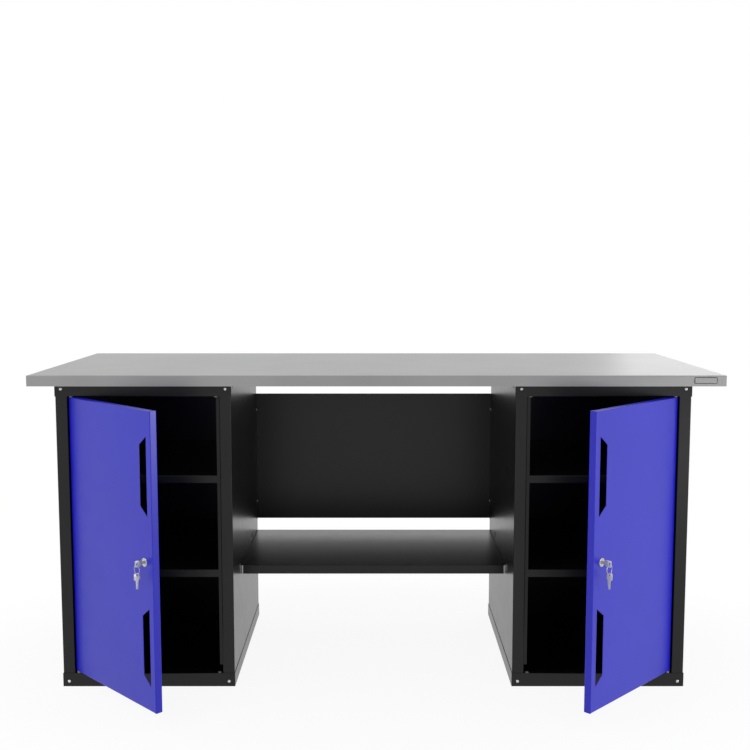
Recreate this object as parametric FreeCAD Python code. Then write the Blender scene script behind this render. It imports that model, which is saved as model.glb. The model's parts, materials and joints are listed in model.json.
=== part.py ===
import FreeCAD, Part
import math
import os

# Double pedestal workbench, in millimetres, +Z up, standing on the floor at Z = 0.
# X runs to the right of someone at the bench, Y runs from front to back.
# The origin is on the floor, under the middle of the bench with its doors as they stand.

# Worktop
WORKTOP_WIDTH = 1800.0
WORKTOP_DEPTH = 700.0
WORKTOP_HEIGHT = 840.0
BOARD_THICKNESS = 27.0
SKIN_SHEET = 1.0
BOARD_FIT = 0.1
FRONT_OVERHANG = 30.0
LEFT_OVERHANG = 62.5
RIGHT_OVERHANG = 78.5

# Pedestals, measured over their rims
PEDESTAL_WIDTH = 460.0
PEDESTAL_DEPTH = 585.0
CAP_RIM = 30.0
BASE_RIM = 37.0

# Folded sheet
SHEET = 1.2
BEND_INSIDE = 0.8

# Front posts and the flanges of the walls
POST_WIDTH = 31.0
STOP_WIDTH = 11.0
STOP_NOTCH = 16.0
RIM_RETURN = 18.0
RETURN_FIT = 0.5
REAR_FLANGE = 22.0
BACK_EDGE = 1.0

# Shelves inside the pedestals, and the lanced windows that carry them
SHELF_RIM = 20.0
SHELF_FIT = 0.3
SHELF_FRONT_GAP = 0.6
SHELF_REAR_GAP = 8.0
LOWER_SHELF_RISE = 31.0
SHELF_PITCH = 255.0
WINDOW_LENGTH = 22.0
WINDOW_HEIGHT = 18.0
WINDOW_FRONT = 142.0
WINDOW_REAR_INSET = 159.0
TAB_LENGTH = 16.0

# Middle shelf and rear screen
MIDDLE_SHELF_TOP = 283.0
MIDDLE_SHELF_FRONT = 174.0
MIDDLE_SHELF_SETBACK = 9.0
MIDDLE_SHELF_RIM = 25.0
MIDDLE_RIM_SHORT = 3.4
BRIDGE_FIT = 0.2
SHELF_SCREW_INSET = 60.0
SCREEN_RISE = 37.0
SCREEN_DROP = 92.0
SCREEN_SETBACK = 4.0
SCREEN_FLANGE = 20.0
SCREEN_CHAMFER = 7.0
SCREEN_SCREW_LOW = 58.0
SCREEN_SCREW_HIGH = 49.0

# Doors, open as they stand at rest
DOOR_OPEN = 45.8
DOOR_DEPTH = 19.0
DOOR_REST_GAP = 1.0
DOOR_SIDE_GAP = 4.2
DOOR_TOP_GAP = 2.0
DOOR_BOTTOM_GAP = 5.0
DOOR_RETURN = 12.0
DOOR_RELIEF = 0.4
SLOT_EDGE = 19.0
SLOT_WIDTH = 31.5
SLOT_LONG = 195.0
SLOT_SHORT = 148.5
SLOT_RISE = 210.0

# Door pivots
PIVOT_INSET = 5.5
PIVOT_DEPTH = 4.8
PIVOT_PIN = 5.0
PIVOT_RUNNING = 0.05
PIVOT_PLAY = 0.15
PIVOT_PLATE_LENGTH = 24.0
PIVOT_PLATE_WIDTH = 13.0
PIVOT_PLATE = 3.0
PIVOT_TIP = 1.2
BUSH_BARREL = 7.2
BUSH_LENGTH = 8.0
BUSH_FLANGE = 9.5
BUSH_FLANGE_HEIGHT = 1.6
BUSH_FIT = 0.05

# Cam lock
LOCK_INSET = 34.7
BEZEL_DIAMETER = 22.0
BEZEL_HEIGHT = 2.2
BEZEL_ROUND = 0.9
BARREL_DIAMETER = 18.0
BARREL_FLATS = 16.0
LOCK_FIT = 0.1
LOCK_NUT_FLATS = 23.0
LOCK_NUT_HEIGHT = 4.0
PLUG_DIAMETER = 12.0
PLUG_RUNNING = 0.1
PLUG_PROUD = 0.5
TANG_SIZE = 7.0
CAM_GAP = 0.8
CAM_SHEET = 2.5
CAM_WIDTH = 16.0
CAM_REACH = 37.5
CAM_SCREW = 5.0
CAM_SCREW_DEPTH = 7.0
CAM_HEAD = 10.0
CAM_HEAD_HEIGHT = 3.0

# Keys and their ring
KEY_SHEET = 2.0
KEY_BLADE = 7.0
KEY_BLADE_LENGTH = 24.0
KEY_NECK = 7.0
KEY_BOW_LENGTH = 17.5
KEY_BOW_WIDTH = 16.5
KEY_BOW_ROUND = 4.0
KEY_HOLE = 6.0
KEY_HOLE_INSET = 4.8
KEY_FIT = 0.15
RING_DIAMETER = 23.0
RING_WIRE = 1.8
RING_PLAY = 0.25

# Frame screws and nuts; HEAD_ROUND is the share of a head's height that is rounded off
SCREW = 4.0
SCREW_FIT = 0.1
SCREW_HEAD = 8.0
SCREW_HEAD_HEIGHT = 2.4
HEAD_ROUND = 0.7
SCREW_TIP = 1.5
NUT_FLATS = 7.0
NUT_HEIGHT = 3.2
FRONT_SCREW_INSET = 16.3
SIDE_SCREW_INSET = 42.0
REAR_SCREW_INSET = 13.0
CAP_SCREW_DROP = 10.0
BASE_SCREW_RISE = 15.0
WOOD_SCREW = 5.0
WOOD_SCREW_HEAD = 10.0
WOOD_SCREW_LENGTH = 20.0
WOOD_SCREW_INSET = 60.0

# Worked out from the sizes above
HEIGHT = WORKTOP_HEIGHT - SKIN_SHEET - BOARD_THICKNESS
OUTSIDE_BEND = BEND_INSIDE + SHEET
POST_EDGE = SHEET + POST_WIDTH
DOOR_FACE = SHEET
DOOR_LEFT = POST_EDGE + DOOR_SIDE_GAP
DOOR_RIGHT = PEDESTAL_WIDTH - DOOR_LEFT
DOOR_WIDTH = DOOR_RIGHT - DOOR_LEFT
DOOR_BACK = DOOR_FACE + DOOR_DEPTH
DOOR_BOTTOM = BASE_RIM + DOOR_BOTTOM_GAP
DOOR_TOP = HEIGHT - CAP_RIM - DOOR_TOP_GAP
STOP_FACE = DOOR_BACK + DOOR_REST_GAP
PIVOT_X = DOOR_LEFT + PIVOT_INSET
PIVOT_Y = DOOR_FACE + PIVOT_DEPTH
LOWER_SHELF_TOP = MIDDLE_SHELF_TOP + LOWER_SHELF_RISE
UPPER_SHELF_TOP = LOWER_SHELF_TOP + SHELF_PITCH
WINDOW_REAR = PEDESTAL_DEPTH - WINDOW_REAR_INSET
MIDDLE_SHELF_BACK = PEDESTAL_DEPTH - MIDDLE_SHELF_SETBACK
SCREEN_BOTTOM = MIDDLE_SHELF_TOP + SCREEN_RISE
SCREEN_TOP = HEIGHT - SCREEN_DROP
LOCK_X = DOOR_RIGHT - LOCK_INSET
LOCK_Z = (DOOR_BOTTOM + DOOR_TOP) / 2
CAM_FACE = STOP_FACE + SHEET + CAM_GAP
RING_RADIUS = RING_DIAMETER / 2
RING_DROP = (KEY_HOLE - RING_WIRE) / 2 - RING_PLAY
LEFT_EDGE = LEFT_OVERHANG - WORKTOP_WIDTH / 2
PAIR_CENTRE = (LEFT_OVERHANG - RIGHT_OVERHANG) / 2
BRIDGE_LEFT = LEFT_EDGE + PEDESTAL_WIDTH - SHEET + BRIDGE_FIT
BRIDGE_RIGHT = 2 * PAIR_CENTRE - BRIDGE_LEFT
SCREEN_BACK = PEDESTAL_DEPTH - SCREEN_SETBACK

# The pedestals' front plane is modelled at Y = 0, and the finished pieces then move back to the origin
OPEN = math.radians(DOOR_OPEN)
DOOR_REACH = (DOOR_WIDTH - PIVOT_INSET) * math.sin(OPEN) + PIVOT_DEPTH * math.cos(OPEN) - PIVOT_Y
ORIGIN_Y = (WORKTOP_DEPTH - FRONT_OVERHANG - max(DOOR_REACH, FRONT_OVERHANG)) / 2

RIGHTWARD = FreeCAD.Vector(1, 0, 0)
LEFTWARD = FreeCAD.Vector(-1, 0, 0)
BACKWARD = FreeCAD.Vector(0, 1, 0)
FORWARD = FreeCAD.Vector(0, -1, 0)
UPWARD = FreeCAD.Vector(0, 0, 1)
DOWNWARD = FreeCAD.Vector(0, 0, -1)


def at(x, y, z):
    return FreeCAD.Vector(x, y, z)


def block(x0, x1, y0, y1, z0, z1):
    return Part.makeBox(x1 - x0, y1 - y0, z1 - z0, at(x0, y0, z0))


def rod(diameter, start, direction, length):
    return Part.makeCylinder(diameter / 2, length, start, direction)


def prism(points, run):
    """A straight solid along run, whose section is the closed outline through the points."""
    return Part.Face(Part.makePolygon(points + [points[0]])).extrude(run)


def hexagon(flats, start, direction, height):
    """A hexagonal prism, measured across its flats."""
    corner = flats / math.sqrt(3)
    angles = [math.radians(60 * step) for step in range(6)]
    outline = [at(corner * math.cos(turn), corner * math.sin(turn), 0) for turn in angles]
    solid = prism(outline, at(0, 0, height))
    solid.Placement = FreeCAD.Placement(start, FreeCAD.Rotation(UPWARD, direction))
    return solid


def folded_sheet(path, sheet, lift, run):
    """Sheet folded along a path of straight legs: the path is the middle of the sheet, in two
    dimensions, lift turns a point of it into a point in space, and run is how far it extends."""
    half = sheet / 2
    middle_bend = BEND_INSIDE + half
    legs = []
    for (a0, b0), (a1, b1) in zip(path, path[1:]):
        length = math.hypot(a1 - a0, b1 - b0)
        legs.append(((a1 - a0) / length, (b1 - b0) / length))

    def skin(side):
        """Points of one face of the sheet: its two ends, and three points for each bend."""
        offset = side * half
        first = legs[0]
        points = [(path[0][0] - first[1] * offset, path[0][1] + first[0] * offset)]
        for corner, before, after in zip(path[1:], legs, legs[1:]):
            turn = 1 if before[0] * after[1] - before[1] * after[0] > 0 else -1
            start = (corner[0] - before[0] * middle_bend, corner[1] - before[1] * middle_bend)
            centre = (
                start[0] - before[1] * turn * middle_bend,
                start[1] + before[0] * turn * middle_bend,
            )
            radius = middle_bend - turn * offset
            out = (before[0] - after[0], before[1] - after[1])
            reach = radius / math.hypot(*out)
            for direction, scale in (
                ((before[1] * turn, -before[0] * turn), radius),
                (out, reach),
                ((after[1] * turn, -after[0] * turn), radius),
            ):
                points.append((centre[0] + direction[0] * scale, centre[1] + direction[1] * scale))
        last = legs[-1]
        points.append((path[-1][0] - last[1] * offset, path[-1][1] + last[0] * offset))
        return [lift(a, b) for a, b in points]

    def edges(points):
        lines = []
        for step in range(0, len(points) - 1, 3):
            lines.append(Part.LineSegment(points[step], points[step + 1]).toShape())
            if step + 3 < len(points):
                lines.append(Part.Arc(*points[step + 1:step + 4]).toShape())
        return lines

    one = skin(1)
    other = skin(-1)
    start_cap = Part.LineSegment(one[0], other[0]).toShape()
    end_cap = Part.LineSegment(one[-1], other[-1]).toShape()
    outline = Part.Wire(Part.__sortEdges__(edges(one) + edges(other) + [start_cap, end_cap]))
    return Part.Face(outline).extrude(run)


def folded_pan(x0, x1, y0, y1, plate_z, rim_z, sheet):
    """A flat pan folded from one sheet: its plate's outer face is at plate_z, its rim ends at rim_z."""

    def rounded(solid, height, radius):
        corners = [edge for edge in solid.Edges if all(abs(v.Z - height) < 1e-6 for v in edge.Vertexes)]
        return solid.makeFillet(radius, corners)

    inward = sheet if rim_z > plate_z else -sheet
    outer = block(x0, x1, y0, y1, min(plate_z, rim_z), max(plate_z, rim_z))
    floor_z = plate_z + inward
    inner = block(x0 + sheet, x1 - sheet, y0 + sheet, y1 - sheet, min(floor_z, rim_z), max(floor_z, rim_z))
    return rounded(outer, plate_z, BEND_INSIDE + sheet).cut(rounded(inner, floor_z, BEND_INSIDE))


def with_flange(panel, clearing, flange):
    """A panel whose plain edge is cut back and carries a folded flange instead."""
    return panel.cut(clearing).fuse(flange).removeSplitter()


def screw(diameter, head, head_height, seat, outward, length):
    """A screw with a domed head whose seat is at the given point, and its shank behind it."""
    dome = rod(head, seat, outward, head_height)
    crown = seat + outward * head_height
    rim = [edge for edge in dome.Edges if edge.Closed and (edge.CenterOfMass - crown).Length < 1e-6]
    dome = dome.makeFillet(head_height * HEAD_ROUND, rim)
    return dome.fuse(rod(diameter, seat, outward * -1, length)).removeSplitter()


def frame_screw(seat, outward, grip):
    return screw(SCREW, SCREW_HEAD, SCREW_HEAD_HEIGHT, seat, outward, grip + NUT_HEIGHT + SCREW_TIP)


def frame_nut(seat, outward, grip):
    """The nut behind the sheets that a frame screw holds together."""
    back = seat - outward * grip
    nut = hexagon(NUT_FLATS, back, outward * -1, NUT_HEIGHT)
    return nut.cut(rod(SCREW + 2 * SCREW_FIT, back, outward * -1, NUT_HEIGHT))


def drilled(panel, fasteners):
    """A panel with a clear hole for every fastener that passes through it."""
    holes = [rod(SCREW + 2 * SCREW_FIT, seat, outward * -1, grip) for seat, outward, grip in fasteners]
    return panel.cut(Part.makeCompound(holes))


# Where the frame's screws sit: each has its seat, the way it faces and the sheets that it grips
def frame_fasteners():
    cap_z = HEIGHT - CAP_SCREW_DROP
    fasteners = []
    for x in (FRONT_SCREW_INSET, PEDESTAL_WIDTH - FRONT_SCREW_INSET):
        for z in (BASE_SCREW_RISE, cap_z):
            fasteners.append((at(x, 0, z), FORWARD, 2 * SHEET))
    for x in (REAR_SCREW_INSET, PEDESTAL_WIDTH - REAR_SCREW_INSET):
        for z in (BASE_SCREW_RISE, cap_z):
            fasteners.append((at(x, PEDESTAL_DEPTH, z), BACKWARD, 3 * SHEET))
        fasteners.append((at(x, PEDESTAL_DEPTH - SHEET, HEIGHT / 2), BACKWARD, 2 * SHEET))
    for y in (SIDE_SCREW_INSET, PEDESTAL_DEPTH - SIDE_SCREW_INSET):
        fasteners.append((at(0, y, cap_z), LEFTWARD, 2 * SHEET))
        fasteners.append((at(PEDESTAL_WIDTH, y, cap_z), RIGHTWARD, 2 * SHEET))
    return fasteners


# The middle shelf's and the screen's screws face the knee space, and their nuts are in the pedestal
def shelf_fasteners():
    z = MIDDLE_SHELF_TOP - MIDDLE_SHELF_RIM / 2
    grip = 2 * SHEET + BRIDGE_FIT
    seat_x = PEDESTAL_WIDTH - 2 * SHEET + grip
    places = (MIDDLE_SHELF_FRONT + SHELF_SCREW_INSET, MIDDLE_SHELF_BACK - SHELF_SCREW_INSET)
    return [(at(seat_x, y, z), RIGHTWARD, grip) for y in places]


def screen_fasteners():
    grip = 2 * SHEET + BRIDGE_FIT
    seat_x = PEDESTAL_WIDTH - 2 * SHEET + grip
    y = SCREEN_BACK - SCREEN_FLANGE / 2
    heights = (SCREEN_BOTTOM + SCREEN_SCREW_LOW, SCREEN_TOP - SCREEN_SCREW_HIGH)
    return [(at(seat_x, y, z), RIGHTWARD, grip) for z in heights]


def wood_screw_places():
    across = (WOOD_SCREW_INSET, PEDESTAL_WIDTH - WOOD_SCREW_INSET)
    along = (WOOD_SCREW_INSET, PEDESTAL_DEPTH - WOOD_SCREW_INSET)
    return [at(x, y, HEIGHT - SHEET) for x in across for y in along]


def bush_places():
    """Both ends of the door opening, top and bottom: a point on the rim, and the way into the rim."""
    places = []
    for x in (PIVOT_X, PEDESTAL_WIDTH - PIVOT_X):
        places.append((at(x, PIVOT_Y, HEIGHT - CAP_RIM), UPWARD))
        places.append((at(x, PIVOT_Y, BASE_RIM), DOWNWARD))
    return places


# Pedestal, drawn as the left one: X = 0 is its outer side, Y = 0 its front
def rim_pan(plate_z, rim_z):
    """Base tray or top cap: a pan whose front rim is folded back between the posts for the bushes."""
    into = 1 if plate_z > rim_z else -1
    left = POST_EDGE + RETURN_FIT
    right = PEDESTAL_WIDTH - left
    fold_z = rim_z + into * OUTSIDE_BEND
    clearing = block(left, right, 0, SHEET, min(rim_z, fold_z), max(rim_z, fold_z))
    rim_return = folded_sheet(
        [(SHEET / 2, rim_z + into * 2 * OUTSIDE_BEND), (SHEET / 2, rim_z + into * SHEET / 2),
         (RIM_RETURN, rim_z + into * SHEET / 2)],
        SHEET, lambda y, z: at(left, y, z), at(right - left, 0, 0))
    pan = folded_pan(0, PEDESTAL_WIDTH, 0, PEDESTAL_DEPTH, plate_z, rim_z, SHEET)
    pan = with_flange(pan, clearing, rim_return)
    holes = [rod(BUSH_BARREL + 2 * BUSH_FIT, rim, inward, SHEET) for rim, inward in bush_places()]
    return drilled(pan.cut(Part.makeCompound(holes)), frame_fasteners())


def base_tray():
    return rim_pan(0, BASE_RIM)


def top_cap():
    holes = [rod(WOOD_SCREW + 2 * SCREW_FIT, seat, UPWARD, SHEET) for seat in wood_screw_places()]
    return rim_pan(HEIGHT, HEIGHT - CAP_RIM).cut(Part.makeCompound(holes))


def shelf_tab(y, support_z):
    """A tab bent in from the wall at the foot of its window."""
    wall_x = 1.5 * SHEET
    return folded_sheet(
        [(wall_x, support_z - 2 * OUTSIDE_BEND), (wall_x, support_z - SHEET / 2),
         (2 * SHEET + TAB_LENGTH, support_z - SHEET / 2)],
        SHEET, lambda x, z: at(x, y - WINDOW_LENGTH / 2, z), at(0, WINDOW_LENGTH, 0))


def side_wall():
    """One sheet: door stop, return, front post, wall and rear flange, with windows for the shelves."""
    stop_y = STOP_FACE + SHEET / 2
    post_y = 1.5 * SHEET
    return_x = POST_EDGE - SHEET / 2
    wall_x = 1.5 * SHEET
    flange_y = PEDESTAL_DEPTH - 2.5 * SHEET
    bottom = OUTSIDE_BEND
    top = HEIGHT - OUTSIDE_BEND
    wall = folded_sheet(
        [(POST_EDGE + STOP_WIDTH, stop_y), (return_x, stop_y), (return_x, post_y), (wall_x, post_y),
         (wall_x, flange_y), (SHEET + REAR_FLANGE, flange_y)],
        SHEET, lambda x, y: at(x, y, bottom), at(0, 0, top - bottom))
    wall = wall.cut(block(POST_EDGE, POST_EDGE + STOP_WIDTH, STOP_FACE, STOP_FACE + SHEET,
                          bottom, BASE_RIM + STOP_NOTCH))
    for shelf_top in (LOWER_SHELF_TOP, UPPER_SHELF_TOP):
        support_z = shelf_top - SHELF_RIM
        for y in (WINDOW_FRONT, WINDOW_REAR):
            window = block(SHEET, 2 * SHEET, y - WINDOW_LENGTH / 2, y + WINDOW_LENGTH / 2,
                           support_z - OUTSIDE_BEND, support_z + WINDOW_HEIGHT)
            wall = with_flange(wall, window, shelf_tab(y, support_z))
    return wall


def outer_side():
    return drilled(side_wall(), frame_fasteners())


def inner_side():
    wall = side_wall().mirror(at(PEDESTAL_WIDTH / 2, 0, 0), RIGHTWARD)
    return drilled(wall, frame_fasteners() + shelf_fasteners() + screen_fasteners())


def back_panel():
    edge = SHEET + BACK_EDGE
    panel = block(edge, PEDESTAL_WIDTH - edge, PEDESTAL_DEPTH - 2 * SHEET, PEDESTAL_DEPTH - SHEET,
                  OUTSIDE_BEND, HEIGHT - OUTSIDE_BEND)
    return drilled(panel, frame_fasteners())


def pedestal_shelf(top):
    side = 2 * SHEET + SHELF_FIT
    front = STOP_FACE + SHEET + SHELF_FRONT_GAP
    back = PEDESTAL_DEPTH - 3 * SHEET - SHELF_REAR_GAP
    return folded_pan(side, PEDESTAL_WIDTH - side, front, back, top, top - SHELF_RIM, SHEET)


def pivot_bushes():
    bushes = []
    for rim, inward in bush_places():
        flange_end = rim - inward * BUSH_FLANGE_HEIGHT
        flange = rod(BUSH_FLANGE, flange_end, inward, BUSH_FLANGE_HEIGHT)
        barrel = rod(BUSH_BARREL, rim, inward, SHEET + BUSH_LENGTH)
        bore = rod(PIVOT_PIN + 2 * PIVOT_RUNNING, flange_end, inward,
                   BUSH_FLANGE_HEIGHT + SHEET + BUSH_LENGTH)
        bushes.append(flange.fuse(barrel).cut(bore).removeSplitter())
    return Part.makeCompound(bushes)


def frame_screws():
    return Part.makeCompound([frame_screw(*fastener) for fastener in frame_fasteners()])


def frame_nuts():
    return Part.makeCompound([frame_nut(*fastener) for fastener in frame_fasteners()])


# Door, drawn closed
def slot_cut(centre_z):
    """A finger slot through the door's sheet: its long side is towards the free edge."""
    long_x = DOOR_RIGHT - SLOT_EDGE
    short_x = long_x - SLOT_WIDTH
    outline = [
        at(long_x, DOOR_FACE, centre_z - SLOT_LONG / 2),
        at(long_x, DOOR_FACE, centre_z + SLOT_LONG / 2),
        at(short_x, DOOR_FACE, centre_z + SLOT_SHORT / 2),
        at(short_x, DOOR_FACE, centre_z - SLOT_SHORT / 2),
    ]
    return prism(outline, at(0, SHEET, 0))


def flatted_barrel(diameter, flats, start, length):
    """A round barrel with two flats that keep the lock from turning in the door."""
    barrel = rod(diameter, at(LOCK_X, start, LOCK_Z), BACKWARD, length)
    sides = block(LOCK_X - flats / 2, LOCK_X + flats / 2, start, start + length,
                  LOCK_Z - diameter, LOCK_Z + diameter)
    return barrel.common(sides)


def door_panel():
    face_y = DOOR_FACE + SHEET / 2
    return_y = DOOR_BACK - SHEET / 2
    left_x = DOOR_LEFT + SHEET / 2
    right_x = DOOR_RIGHT - SHEET / 2
    panel = folded_sheet(
        [(DOOR_LEFT + DOOR_RETURN, return_y), (left_x, return_y), (left_x, face_y), (right_x, face_y),
         (right_x, return_y), (DOOR_RIGHT - DOOR_RETURN, return_y)],
        SHEET, lambda x, y: at(x, y, DOOR_BOTTOM), at(0, 0, DOOR_TOP - DOOR_BOTTOM))
    flange_left = DOOR_LEFT + OUTSIDE_BEND + DOOR_RELIEF
    flange_right = DOOR_RIGHT - OUTSIDE_BEND - DOOR_RELIEF
    flange_end = DOOR_BACK - SHEET - DOOR_RELIEF
    for edge_z, inward in ((DOOR_TOP, -1), (DOOR_BOTTOM, 1)):
        fold_z = edge_z + inward * OUTSIDE_BEND
        clearing = block(flange_left - DOOR_RELIEF, flange_right + DOOR_RELIEF, DOOR_FACE, DOOR_FACE + SHEET,
                         min(edge_z, fold_z), max(edge_z, fold_z))
        flange = folded_sheet(
            [(face_y, edge_z + inward * 2 * OUTSIDE_BEND), (face_y, edge_z + inward * SHEET / 2),
             (flange_end, edge_z + inward * SHEET / 2)],
            SHEET, lambda y, z: at(flange_left, y, z), at(flange_right - flange_left, 0, 0))
        panel = with_flange(panel, clearing, flange)
        pin_hole = rod(PIVOT_PIN + 2 * SCREW_FIT, at(PIVOT_X, PIVOT_Y, edge_z), UPWARD * inward, SHEET)
        panel = panel.cut(pin_hole)
    lock_hole = flatted_barrel(BARREL_DIAMETER + 2 * LOCK_FIT, BARREL_FLATS + 2 * LOCK_FIT, DOOR_FACE, SHEET)
    finger_slots = [slot_cut(LOCK_Z + SLOT_RISE), slot_cut(LOCK_Z - SLOT_RISE)]
    return panel.cut(Part.makeCompound(finger_slots + [lock_hole]))


def door_pivot(edge_z, rim_z):
    """A plate inside the door's flange, with the pin that runs in the bush in the rim."""
    outward = UPWARD if rim_z > edge_z else DOWNWARD
    plate_z = edge_z - outward.z * SHEET
    plate_end = plate_z - outward.z * PIVOT_PLATE
    left = DOOR_LEFT + OUTSIDE_BEND
    front = DOOR_FACE + OUTSIDE_BEND
    plate = block(left, left + PIVOT_PLATE_LENGTH, front, front + PIVOT_PLATE_WIDTH,
                  min(plate_z, plate_end), max(plate_z, plate_end))
    length = abs(rim_z - plate_z) + SHEET + BUSH_LENGTH + PIVOT_TIP
    return plate.fuse(rod(PIVOT_PIN, at(PIVOT_X, PIVOT_Y, plate_z), outward, length)).removeSplitter()


def upper_pivot():
    return door_pivot(DOOR_TOP, HEIGHT - CAP_RIM)


def lower_pivot():
    return door_pivot(DOOR_BOTTOM, BASE_RIM)


def pivot_washer():
    seat = at(PIVOT_X, PIVOT_Y, BASE_RIM + BUSH_FLANGE_HEIGHT + PIVOT_PLAY)
    height = DOOR_BOTTOM_GAP - BUSH_FLANGE_HEIGHT - 2 * PIVOT_PLAY
    washer = rod(BUSH_FLANGE, seat, UPWARD, height)
    return washer.cut(rod(PIVOT_PIN + 2 * PIVOT_RUNNING, seat, UPWARD, height))


# Cam lock, drawn unlocked: the key slot upright and the cam hanging down
def lock_housing():
    bezel = rod(BEZEL_DIAMETER, at(LOCK_X, DOOR_FACE, LOCK_Z), FORWARD, BEZEL_HEIGHT)
    middle_y = DOOR_FACE - BEZEL_HEIGHT / 2
    front = [edge for edge in bezel.Edges if edge.Closed and edge.CenterOfMass.y < middle_y]
    bezel = bezel.makeFillet(BEZEL_ROUND, front)
    barrel = flatted_barrel(BARREL_DIAMETER, BARREL_FLATS, DOOR_FACE, CAM_FACE - LOCK_FIT - DOOR_FACE)
    start = at(LOCK_X, DOOR_FACE - BEZEL_HEIGHT, LOCK_Z)
    return bezel.fuse(barrel).cut(rod(PLUG_DIAMETER, start, BACKWARD, CAM_FACE - start.y))


def lock_nut():
    start = at(LOCK_X, DOOR_FACE + SHEET, LOCK_Z)
    nut = hexagon(LOCK_NUT_FLATS, start, BACKWARD, LOCK_NUT_HEIGHT)
    return nut.cut(rod(BARREL_DIAMETER + 2 * LOCK_FIT, start, BACKWARD, LOCK_NUT_HEIGHT))


def lock_plug():
    face_y = DOOR_FACE - BEZEL_HEIGHT - PLUG_PROUD
    body_end = CAM_FACE - LOCK_FIT
    plug = rod(PLUG_DIAMETER - 2 * PLUG_RUNNING, at(LOCK_X, face_y, LOCK_Z), BACKWARD, body_end - face_y)
    half = TANG_SIZE / 2
    tang_end = CAM_FACE + CAM_SHEET - LOCK_FIT
    tang = block(LOCK_X - half, LOCK_X + half, body_end, tang_end, LOCK_Z - half, LOCK_Z + half)
    slot_x = KEY_SHEET / 2 + KEY_FIT
    slot_z = KEY_BLADE / 2 + KEY_FIT
    slot_end = face_y + KEY_BLADE_LENGTH - KEY_NECK + KEY_FIT
    key_slot = block(LOCK_X - slot_x, LOCK_X + slot_x, face_y, slot_end, LOCK_Z - slot_z, LOCK_Z + slot_z)
    thread = rod(CAM_SCREW + 2 * LOCK_FIT, at(LOCK_X, tang_end, LOCK_Z), FORWARD, CAM_SCREW_DEPTH)
    return plug.fuse(tang).cut(Part.makeCompound([key_slot, thread])).removeSplitter()


def lock_cam():
    """A flat cam, round at both ends, with a square hole for the plug's tang."""
    half = CAM_WIDTH / 2
    centre = at(LOCK_X, CAM_FACE, LOCK_Z)
    tip = centre + DOWNWARD * (CAM_REACH - half)
    cam = block(LOCK_X - half, LOCK_X + half, CAM_FACE, CAM_FACE + CAM_SHEET, tip.z, LOCK_Z)
    for end in (centre, tip):
        cam = cam.fuse(rod(CAM_WIDTH, end, BACKWARD, CAM_SHEET))
    hole = TANG_SIZE / 2 + LOCK_FIT
    square = block(LOCK_X - hole, LOCK_X + hole, CAM_FACE, CAM_FACE + CAM_SHEET, LOCK_Z - hole, LOCK_Z + hole)
    return cam.cut(square).removeSplitter()


def cam_screw():
    seat = at(LOCK_X, CAM_FACE + CAM_SHEET, LOCK_Z)
    return screw(CAM_SCREW, CAM_HEAD, CAM_HEAD_HEIGHT, seat, BACKWARD, CAM_SCREW_DEPTH - LOCK_FIT)


def flat_key(hole):
    """A key that hangs blade down, with the hole of its bow round the given point."""
    thickness = at(KEY_SHEET, 0, 0)
    side = hole.x - KEY_SHEET / 2
    bow_top = hole.z + KEY_HOLE_INSET
    bow_bottom = bow_top - KEY_BOW_LENGTH
    half_bow = KEY_BOW_WIDTH / 2
    bow = block(side, side + KEY_SHEET, hole.y - half_bow, hole.y + half_bow, bow_bottom, bow_top)
    bow = bow.makeFillet(KEY_BOW_ROUND, [edge for edge in bow.Edges if abs(edge.tangentAt(0).x) > 0.5])
    half = KEY_BLADE / 2
    tip_z = bow_bottom - KEY_BLADE_LENGTH
    blade = prism([
        at(side, hole.y - half, bow_bottom + KEY_BOW_ROUND),
        at(side, hole.y - half, tip_z + half),
        at(side, hole.y, tip_z),
        at(side, hole.y + half, tip_z + half),
        at(side, hole.y + half, bow_bottom + KEY_BOW_ROUND),
    ], thickness)
    return bow.fuse(blade).cut(rod(KEY_HOLE, at(side, hole.y, hole.z), RIGHTWARD, KEY_SHEET)).removeSplitter()


def key_hole():
    """Middle of the hole in the bow of the key that is in the lock."""
    plug_face = DOOR_FACE - BEZEL_HEIGHT - PLUG_PROUD
    return at(LOCK_X, plug_face - KEY_NECK - KEY_BOW_LENGTH + KEY_HOLE_INSET, LOCK_Z)


def ring_top():
    return key_hole() + DOWNWARD * RING_DROP


def ring_bottom():
    return ring_top() + DOWNWARD * RING_DIAMETER


def key():
    in_lock = flat_key(key_hole())
    in_lock.rotate(key_hole(), RIGHTWARD, 90)
    return in_lock


def key_ring():
    return Part.makeTorus(RING_RADIUS, RING_WIRE / 2, ring_top() + DOWNWARD * RING_RADIUS, BACKWARD)


def spare_key():
    return flat_key(ring_bottom() + DOWNWARD * RING_DROP)


# Worktop, and what is between the pedestals
def worktop_box():
    back = WORKTOP_DEPTH - FRONT_OVERHANG
    return -WORKTOP_WIDTH / 2, WORKTOP_WIDTH / 2, -FRONT_OVERHANG, back


def worktop_skin():
    return folded_pan(*worktop_box(), WORKTOP_HEIGHT, HEIGHT, SKIN_SHEET)


def worktop_core():
    x0, x1, y0, y1 = worktop_box()
    edge = SKIN_SHEET + BOARD_FIT
    top = WORKTOP_HEIGHT - SKIN_SHEET
    board = block(x0 + edge, x1 - edge, y0 + edge, y1 - edge, HEIGHT, top)
    upper_edges = [e for e in board.Edges if all(abs(v.Z - top) < 1e-6 for v in e.Vertexes)]
    board = board.makeChamfer(BEND_INSIDE, upper_edges)
    shank = WOOD_SCREW + 2 * SCREW_FIT
    depth = WOOD_SCREW_LENGTH + SCREW_FIT
    holes = [rod(shank, seat, UPWARD, depth) for seat in both_sides(wood_screw_places())]
    return board.cut(Part.makeCompound(holes))


def both_sides(places):
    """Places on the left pedestal and the same places on the right one, on the bench."""
    left = [place + at(LEFT_EDGE, 0, 0) for place in places]
    return left + [at(2 * PAIR_CENTRE - place.x, place.y, place.z) for place in left]


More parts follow.
